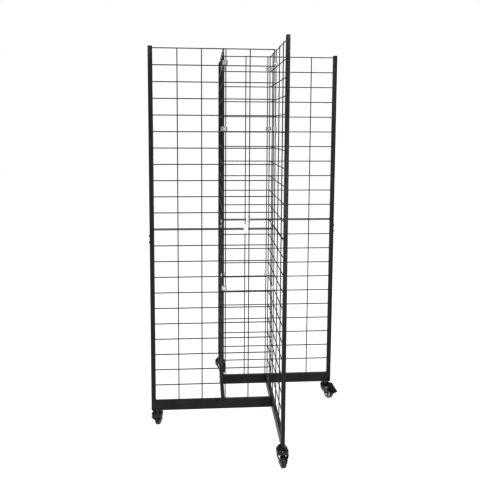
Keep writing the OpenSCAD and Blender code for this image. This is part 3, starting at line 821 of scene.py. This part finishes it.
n2.piece("caster_stem_nut_set", ident, M["zinc_plate"], "stand", "zinc_plate", ["caster_stem_nuts"], sharp=26)

# ---------------------------------------------------------------- brake pedal


top = catmull([(23.4, 74.5), (24.2, 77.6), (27.5, 79.3), (34, 78.8), (42, 73.6), (49, 68.3), (56, 60.4), (62, 53.7), (66, 49.3), (68.7, 46.3), (69.8, 44.4)], 6)
bot = catmull([(23.4, 71.5), (23.2, 67.6), (28, 61.8), (34, 61.2), (40, 62.1), (46, 60.1), (52, 54.6), (57, 49.0), (62, 44.9), (67.2, 42.3), (69.6, 43.4)], 6)
b = Build()
loops = []
for k, (a, c) in enumerate(zip(top, bot)):
    x = (a.x + c.x) / 2
    wd = interp(x, [(20, 14.6), (36, 14.7), (50, 13.3), (57, 14.6), (64, 16.8), (67, 16.9), (70, 15.6)])
    if k in (0, len(top) - 1):
        wd -= 1.2
    rib = 0.0
    if 50 < a.x < 67:
        rib = 0.55 * max(0.0, math.sin((a.x - 50) * math.pi / 1.9))
    loop = []
    seg = 28
    for j in range(seg):
        th = 2 * math.pi * j / seg
        cs, sn = math.cos(th), math.sin(th)
        y = wd * math.copysign(abs(cs) ** 0.28, cs)
        s = 0.5 + 0.5 * math.copysign(abs(sn) ** 0.28, sn)
        p = c.lerp(a, s)
        if s > 0.9 and abs(y) < wd - 1.6:
            nrm = (a - c).normalized()
            p = p + nrm * (rib - (0.5 if 36 < a.x < 50 and abs(y) < 8 else 0))
        loop.append((p.x, y, p.y))
    loops.append(loop)
b.add(*rings(loops))
# the shoe that meets the tyre
shoe = [(33, 62.6), (36.8, 51.2), (38.6, 49.4), (42.6, 47.3), (44.2, 48.2), (47.2, 56.8), (46.8, 60.6)]
va = [(x, -7.6, z) for x, z in shoe] + [(x, 7.6, z) for x, z in shoe]
nn = len(shoe)
b.add(va, [tuple(range(nn)), tuple(reversed(range(nn, 2 * nn)))] + [(k2, k2 + nn, (k2 + 1) % nn + nn, (k2 + 1) % nn) for k2 in range(nn)])
b.piece("brake_pedal_moulding", caster_m("right"), M["pedal_black"], "pedal", "pedal_black", ["brake_pedal"], sharp=46)

b = Build()
m = along((28, -27.8, 66), (0, 1, 0))
b.add(*lathe([(0.5, 0), (2.6, 0.05), (3.6, 0.5), (4.0, 1.1), (4.0, 1.75), (3.7, 1.9), (2.5, 1.9), (2.5, 54.6), (2.9, 54.8), (2.9, 55.1), (2.2, 55.4), (0.5, 55.4)], 40), m)
b.piece("brake_pivot_rivet", caster_m("right"), M["zinc_plate"], "right_caster", "zinc_plate", ["brake_pivot_pin"], sharp=32)

# ---------------------------------------------------------------- stage
scene.view_settings.view_transform = "Standard"
scene.view_settings.look = "None"
scene.view_settings.exposure = 0
scene.view_settings.gamma = 0.64

me = bpy.data.meshes.new("floor")
bm = bmesh.new()
bmesh.ops.create_grid(bm, x_segments=1, y_segments=1, size=14)
bm.to_mesh(me)
bm.free()
floor = bpy.data.objects.new("floor", me)
scene.collection.objects.link(floor)
fm = bpy.data.materials.new("m_floor")
fm.use_nodes = True
fb = fm.node_tree.nodes["Principled BSDF"]
fb.inputs["Base Color"].default_value = (0.22, 0.22, 0.22, 1)
fb.inputs["Roughness"].default_value = 0.9
fb.inputs["Specular IOR Level"].default_value = 0.1
fb.inputs["Emission Color"].default_value = (1, 1, 1, 1)
fb.inputs["Emission Strength"].default_value = 0.93
me.materials.append(fm)

world = bpy.data.worlds.new("studio")
scene.world = world
world.use_nodes = True
wt = world.node_tree
bg = wt.nodes["Background"]
bg.inputs["Color"].default_value = (1, 1, 1, 1)
bg.inputs["Strength"].default_value = 0.28
seen = wt.nodes.new("ShaderNodeBackground")
seen.inputs["Color"].default_value = (1, 1, 1, 1)
seen.inputs["Strength"].default_value = 1.0
path = wt.nodes.new("ShaderNodeLightPath")
mix = wt.nodes.new("ShaderNodeMixShader")
mirror = wt.nodes.new("ShaderNodeBackground")
mirror.inputs["Color"].default_value = (1, 1, 1, 1)
mirror.inputs["Strength"].default_value = 0.55
mix2 = wt.nodes.new("ShaderNodeMixShader")
wt.links.new(path.outputs["Is Glossy Ray"], mix2.inputs["Fac"])
wt.links.new(bg.outputs["Background"], mix2.inputs[1])
wt.links.new(mirror.outputs["Background"], mix2.inputs[2])
wt.links.new(path.outputs["Is Camera Ray"], mix.inputs["Fac"])
wt.links.new(mix2.outputs["Shader"], mix.inputs[1])
wt.links.new(seen.outputs["Background"], mix.inputs[2])
wt.links.new(mix.outputs["Shader"], wt.nodes["World Output"].inputs["Surface"])


def area(name, loc, target, size, power, size_y=None):
    d = bpy.data.lights.new(name, "AREA")
    d.shape = "RECTANGLE"
    d.size, d.size_y = size, size_y or size
    d.energy = power
    o = bpy.data.objects.new(name, d)
    scene.collection.objects.link(o)
    o.location = loc
    o.rotation_mode = "QUATERNION"
    o.rotation_quaternion = (Vector(target) - Vector(loc)).to_track_quat("-Z", "Y")
    return o


area("key", (-1.6, -2.8, 3.0), (0, 0, 0.9), 1.1, 24)
area("fill", (2.8, -1.8, 1.8), (0, 0, 0.9), 1.2, 9)
area("top", (0.0, 0.2, 3.8), (0, 0, 0), 2.0, 16)
area("over strip", (0.55, -1.65, 2.3), (0.1, -0.4, 0.1), 0.15, 13, 2.4)
area("rim", (0.6, 3.0, 2.2), (0, 0, 0.8), 1.4, 12)
area("front strip", (0.50, -2.95, 0.75), (0.05, -0.3, 0.1), 0.15, 9, 1.1)
area("left strip", (-2.3, -1.9, 0.8), (-0.3, -0.2, 0.2), 0.20, 6, 1.2)

# ---------------------------------------------------------------- update the view layer
bpy.context.view_layer.update()
